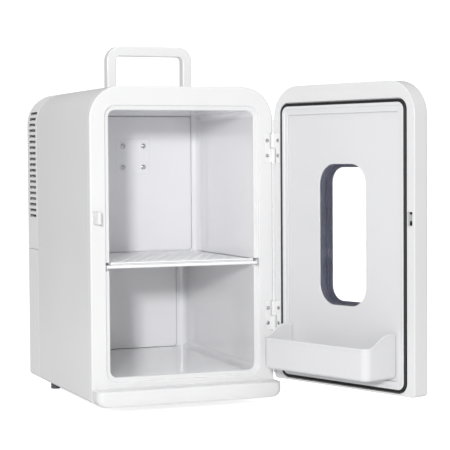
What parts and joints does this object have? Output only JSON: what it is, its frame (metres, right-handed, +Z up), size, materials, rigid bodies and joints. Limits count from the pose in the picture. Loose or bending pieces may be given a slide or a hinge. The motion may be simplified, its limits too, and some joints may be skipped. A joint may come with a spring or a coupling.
{
  "type": "mini fridge",
  "caption": "Compact thermoelectric fridge with a swing door, glazed door window, door bin, sliding shelf and folding carry handle.",
  "frame": {"origin": "on the standing plane, below the middle of the cabinet's width and depth", "axes": "+Z up, the front of the cabinet faces -Y, the door hinge is on the +X side"},
  "size_m": [0.3515, 0.5476, 0.471],
  "materials": {
    "white_gloss": "glossy white ABS",
    "white_satin": "satin white ABS",
    "liner_white": "smooth white polystyrene",
    "plate_white": "white coated aluminium",
    "aluminium": "milled and extruded",
    "screw_steel": "zinc plated",
    "hinge_white": "white powder coat",
    "divider_metal": "galvanised sheet",
    "foam": "rigid polyurethane foam",
    "gasket_rubber": "soft black rubber",
    "foot_rubber": "dark grey rubber",
    "seal_foam": "closed-cell ring",
    "ceramic": "ceramic faced module",
    "fan_plastic": "black moulded",
    "board": "green laminate",
    "socket_black": "black moulded",
    "window_glass": "clear pane",
    "spacer_blue": "dark slate coated"
  },
  "bodies": {
    "cabinet": {"outer_shell": "white_gloss", "front_frame": "white_gloss", "plinth": "white_gloss", "inner_liner": "liner_white", "lower_back_panel": "liner_white", "cold_plate": "plate_white", "plate_screws": "screw_steel", "foam_insulation": "foam", "rear_divider": "divider_metal", "cold_block": "aluminium", "peltier_module": "ceramic", "module_seal": "seal_foam", "heat_sink": "aluminium", "heat_sink_screws": "screw_steel", "fan_frame": "fan_plastic", "power_board": "board", "ac_inlet": "socket_black", "dc_inlet": "socket_black", "inlet_pins": "screw_steel", "rocker_frame": "socket_black", "rear_cover": "white_satin", "rear_base_cover": "white_satin", "cover_screws": "screw_steel", "feet": "foot_rubber", "handle_tray": "white_satin", "handle_pins": "screw_steel", "catch_tongue": "white_gloss", "hinge_leaves_frame": "hinge_white", "hinge_screws_frame": "screw_steel", "hinge_pins": "screw_steel"},
    "handle": {"handle": "white_gloss"},
    "shelf": {"shelf": "white_satin"},
    "fan_wheel": {"fan_impeller": "fan_plastic"},
    "mode_rocker": {"mode_rocker": "socket_black"},
    "door": {"hinge_leaves_door": "hinge_white", "hinge_screws_door": "screw_steel", "door_skin": "white_gloss", "door_foam": "foam", "door_liner": "liner_white", "door_gasket": "gasket_rubber", "window_outer_pane": "window_glass", "window_spacer": "spacer_blue", "window_inner_pane": "window_glass", "catch_keeper": "white_gloss", "door_bin": "liner_white"}
  },
  "joints": [
    {"name": "door_hinge", "type": "hinge", "parent": "cabinet", "child": "door", "pos_m": [0.1236, -0.1575, 0.224], "axis": [0, 0, 1], "range_deg": [-108.65, 31.35]},
    {"name": "handle_fold", "type": "hinge", "parent": "cabinet", "child": "handle", "pos_m": [0, -0.0205, 0.4038], "axis": [-1, 0, 0], "range_deg": [0, 90]},
    {"name": "shelf_slide", "type": "slide", "parent": "cabinet", "child": "shelf", "axis": [0, -1, 0], "range_m": [0, 0.17]},
    {"name": "fan_spin", "type": "hinge", "parent": "cabinet", "child": "fan_wheel", "pos_m": [0, 0.124, 0.318], "axis": [0, 1, 0], "continuous": true},
    {"name": "mode_switch", "type": "hinge", "parent": "cabinet", "child": "mode_rocker", "pos_m": [0.038, 0.146, 0.069], "axis": [1, 0, 0], "range_deg": [-8, 8]}
  ]
}
